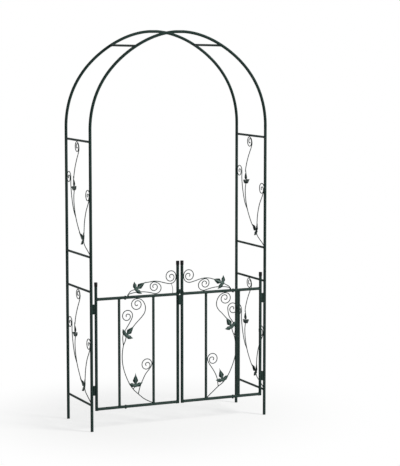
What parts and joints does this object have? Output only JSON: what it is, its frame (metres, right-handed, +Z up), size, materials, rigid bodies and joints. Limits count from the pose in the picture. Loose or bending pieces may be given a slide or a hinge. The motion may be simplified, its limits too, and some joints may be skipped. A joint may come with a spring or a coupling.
{
  "type": "garden arch with gate",
  "caption": "Round-topped garden arch of painted steel tube, with trellis sides, ivy scroll ornaments and a gate of two hinged leaves with a throw-over latch.",
  "frame": {"origin": "on the ground, under the middle of the box that holds the whole arch", "axes": "+Z up, +X to the right seen from the front, and the gate hangs in the front opening, on the -Y side"},
  "size_m": [1.117, 0.409, 2.2799],
  "materials": {
    "tubes": "dark green-grey powder coat, satin",
    "ornaments": "dark green-grey powder coat, satin",
    "caps": "moulded black plastic, matt"
  },
  "bodies": {
    "arch": {"post_lower_front_left": "tubes", "post_upper_front_left": "tubes", "post_lower_back_left": "tubes", "post_upper_back_left": "tubes", "post_lower_front_right": "tubes", "post_upper_front_right": "tubes", "post_lower_back_right": "tubes", "post_upper_back_right": "tubes", "hoop_front_left": "tubes", "hoop_front_right": "tubes", "hoop_back_left": "tubes", "hoop_back_right": "tubes", "hoop_bar_left": "tubes", "rung_bottom_left": "tubes", "rung_lower_left": "tubes", "rung_upper_left": "tubes", "rung_top_left": "tubes", "hoop_bar_right": "tubes", "rung_bottom_right": "tubes", "rung_lower_right": "tubes", "rung_upper_right": "tubes", "rung_top_right": "tubes", "side_scroll_lower_left": "ornaments", "side_scroll_upper_left": "ornaments", "side_scroll_lower_right": "ornaments", "side_scroll_upper_right": "ornaments", "hinge_pin_upper_left": "tubes", "hinge_pin_lower_left": "tubes", "hinge_pin_upper_right": "tubes", "hinge_pin_lower_right": "tubes"},
    "left_leaf": {"gate_left_hinge_stile": "tubes", "gate_left_lock_stile": "tubes", "gate_left_bottom_rail_short": "tubes", "gate_left_bottom_rail_long": "tubes", "gate_left_top_rail_short": "tubes", "gate_left_top_rail_long": "tubes", "gate_left_outer_bar": "tubes", "gate_left_inner_bar": "tubes", "gate_left_bay_scroll": "ornaments", "gate_left_crest_scroll": "ornaments", "gate_left_hinge_cap": "caps", "gate_left_lock_cap": "caps", "hinge_barrel_upper_left": "tubes", "hinge_barrel_lower_left": "tubes", "latch_rivet": "tubes"},
    "right_leaf": {"gate_right_hinge_stile": "tubes", "gate_right_lock_stile": "tubes", "gate_right_bottom_rail_short": "tubes", "gate_right_bottom_rail_long": "tubes", "gate_right_top_rail_short": "tubes", "gate_right_top_rail_long": "tubes", "gate_right_outer_bar": "tubes", "gate_right_inner_bar": "tubes", "gate_right_bay_scroll": "ornaments", "gate_right_crest_scroll": "ornaments", "gate_right_hinge_cap": "caps", "gate_right_lock_cap": "caps", "hinge_barrel_upper_right": "tubes", "hinge_barrel_lower_right": "tubes"},
    "latch": {"latch_bar": "tubes"}
  },
  "joints": [
    {"name": "left_leaf_hinge", "type": "hinge", "parent": "arch", "child": "left_leaf", "pos_m": [-0.5357, -0.18795, 0.706], "axis": [0, 0, 1], "range_deg": [-95, 85]},
    {"name": "right_leaf_hinge", "type": "hinge", "parent": "arch", "child": "right_leaf", "pos_m": [0.5357, -0.18795, 0.706], "axis": [0, 0, 1], "range_deg": [-85, 95]},
    {"name": "latch_pivot", "type": "hinge", "parent": "left_leaf", "child": "latch", "pos_m": [-0.0048, -0.20025, 0.779], "axis": [0, 1, 0], "range_deg": [0, 270]}
  ]
}
